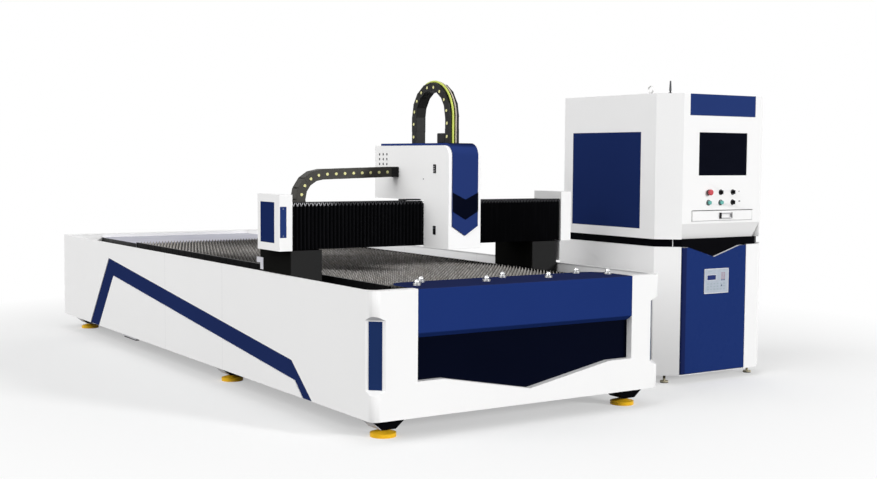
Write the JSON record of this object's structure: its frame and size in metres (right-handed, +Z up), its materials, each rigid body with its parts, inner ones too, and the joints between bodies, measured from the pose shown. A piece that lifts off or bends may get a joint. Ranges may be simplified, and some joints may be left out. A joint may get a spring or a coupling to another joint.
{
  "type": "fiber laser cutting machine",
  "caption": "Flat-bed sheet metal laser cutter: long slatted table, moving gantry with a cutting head on bellows-covered guides, energy chains and a separate control cabinet.",
  "frame": {"origin": "centre of the whole machine's footprint, on the floor", "axes": "+X across the bed from its left side to the cabinet, +Y along the bed from the loading end to the rear, +Z up"},
  "size_m": [3.612, 5.5, 2.05],
  "materials": {
    "white_paint": "satin",
    "blue_paint": "gloss",
    "navy_paint": "gloss",
    "black_paint": "matte",
    "charcoal_paint": "matte",
    "frame_paint": "matte",
    "yellow_paint": "satin",
    "slat_steel": "rough",
    "rail_steel": "ground",
    "zinc_steel": "plated",
    "ball_chrome": "polished",
    "chain_plastic": "matte",
    "black_plastic": "satin",
    "bellows_fabric": "coated",
    "cable_jacket": "satin",
    "plate_aluminium": "machined",
    "nozzle_brass": "polished",
    "screen_plastic": "gloss",
    "keypad_plastic": "satin",
    "red_plastic": "satin",
    "green_plastic": "satin"
  },
  "bodies": {
    "base": {"side_frames": "frame_paint", "cross_members": "frame_paint", "slag_tray": "frame_paint", "slat_holders": "slat_steel", "slats": "slat_steel", "y_guides": "rail_steel", "foot_brackets": "black_paint", "levelling_feet": "yellow_paint", "side_covers": "white_paint", "front_cover": "white_paint", "rear_cover": "white_paint", "front_panel": "blue_paint", "front_recess_panel": "navy_paint", "blue_stripes": "blue_paint", "ball_cups": "black_plastic", "transfer_balls": "ball_chrome", "cabinet_base": "white_paint", "cabinet_band": "black_paint", "cabinet_upper": "white_paint", "cabinet_panels": "blue_paint", "door_hinges": "black_paint", "monitor": "screen_plastic", "lifting_eyes": "zinc_steel", "antenna": "black_plastic", "cabinet_feet": "zinc_steel", "laser_source": "frame_paint"},
    "gantry": {"left_leg": "charcoal_paint", "right_leg": "charcoal_paint", "y_blocks": "rail_steel", "beam": "black_paint", "end_boxes": "white_paint", "end_box_panels": "blue_paint", "y_drives": "black_plastic", "x_guides": "rail_steel", "left_bellows": "bellows_fabric", "right_bellows": "bellows_fabric", "x_chain": "chain_plastic"},
    "carriage": {"carriage_plate": "plate_aluminium", "x_blocks": "rail_steel", "head_cover": "white_paint", "head_front_panel": "blue_paint", "head_chevron": "navy_paint", "head_sockets": "black_plastic", "x_drive": "black_plastic", "z_actuator": "rail_steel", "z_chain": "chain_plastic", "fiber_lines": "cable_jacket"},
    "cutting_head": {"z_slide": "plate_aluminium", "cutting_head_body": "plate_aluminium", "nozzle": "nozzle_brass"},
    "lower_door": {"lower_door": "blue_paint", "door_display": "keypad_plastic"},
    "keyboard_drawer": {"keyboard_drawer": "white_paint", "drawer_handle": "black_plastic"},
    "stop_button": {"stop_button": "red_plastic"},
    "start_button": {"start_button": "green_plastic"},
    "reset_button": {"reset_button": "green_plastic"},
    "power_selector": {"power_selector": "black_plastic"},
    "mode_selector": {"mode_selector": "black_plastic"},
    "light_selector": {"light_selector": "black_plastic"}
  },
  "joints": [
    {"name": "gantry_slide", "type": "slide", "parent": "base", "child": "gantry", "axis": [0, 1, 0], "range_m": [-0.4, 3.85]},
    {"name": "carriage_slide", "type": "slide", "parent": "gantry", "child": "carriage", "axis": [1, 0, 0], "range_m": [-0.78, 0.72], "deforming": ["left_bellows", "right_bellows", "x_chain"]},
    {"name": "head_slide", "type": "slide", "parent": "carriage", "child": "cutting_head", "axis": [0, 0, 1], "range_m": [-0.12, 0]},
    {"name": "drawer_slide", "type": "slide", "parent": "base", "child": "keyboard_drawer", "axis": [0, -1, 0], "range_m": [0, 0.3]},
    {"name": "door_hinge", "type": "hinge", "parent": "base", "child": "lower_door", "pos_m": [1.525, -2.28, 0.5], "axis": [0, 0, 1], "range_deg": [0, 110]},
    {"name": "stop_press", "type": "slide", "parent": "base", "child": "stop_button", "axis": [0, 1, 0], "range_m": [0, 0.006], "stiffness_N_per_m": 400},
    {"name": "start_press", "type": "slide", "parent": "base", "child": "start_button", "axis": [0, 1, 0], "range_m": [0, 0.004], "stiffness_N_per_m": 400},
    {"name": "reset_press", "type": "slide", "parent": "base", "child": "reset_button", "axis": [0, 1, 0], "range_m": [0, 0.004], "stiffness_N_per_m": 400},
    {"name": "power_turn", "type": "hinge", "parent": "base", "child": "power_selector", "pos_m": [1.281, -2.29, 1.3], "axis": [0, 1, 0], "range_deg": [-45, 45]},
    {"name": "mode_turn", "type": "hinge", "parent": "base", "child": "mode_selector", "pos_m": [1.397, -2.29, 1.3], "axis": [0, 1, 0], "range_deg": [-45, 45]},
    {"name": "light_turn", "type": "hinge", "parent": "base", "child": "light_selector", "pos_m": [1.397, -2.29, 1.23], "axis": [0, 1, 0], "range_deg": [-45, 45]}
  ]
}
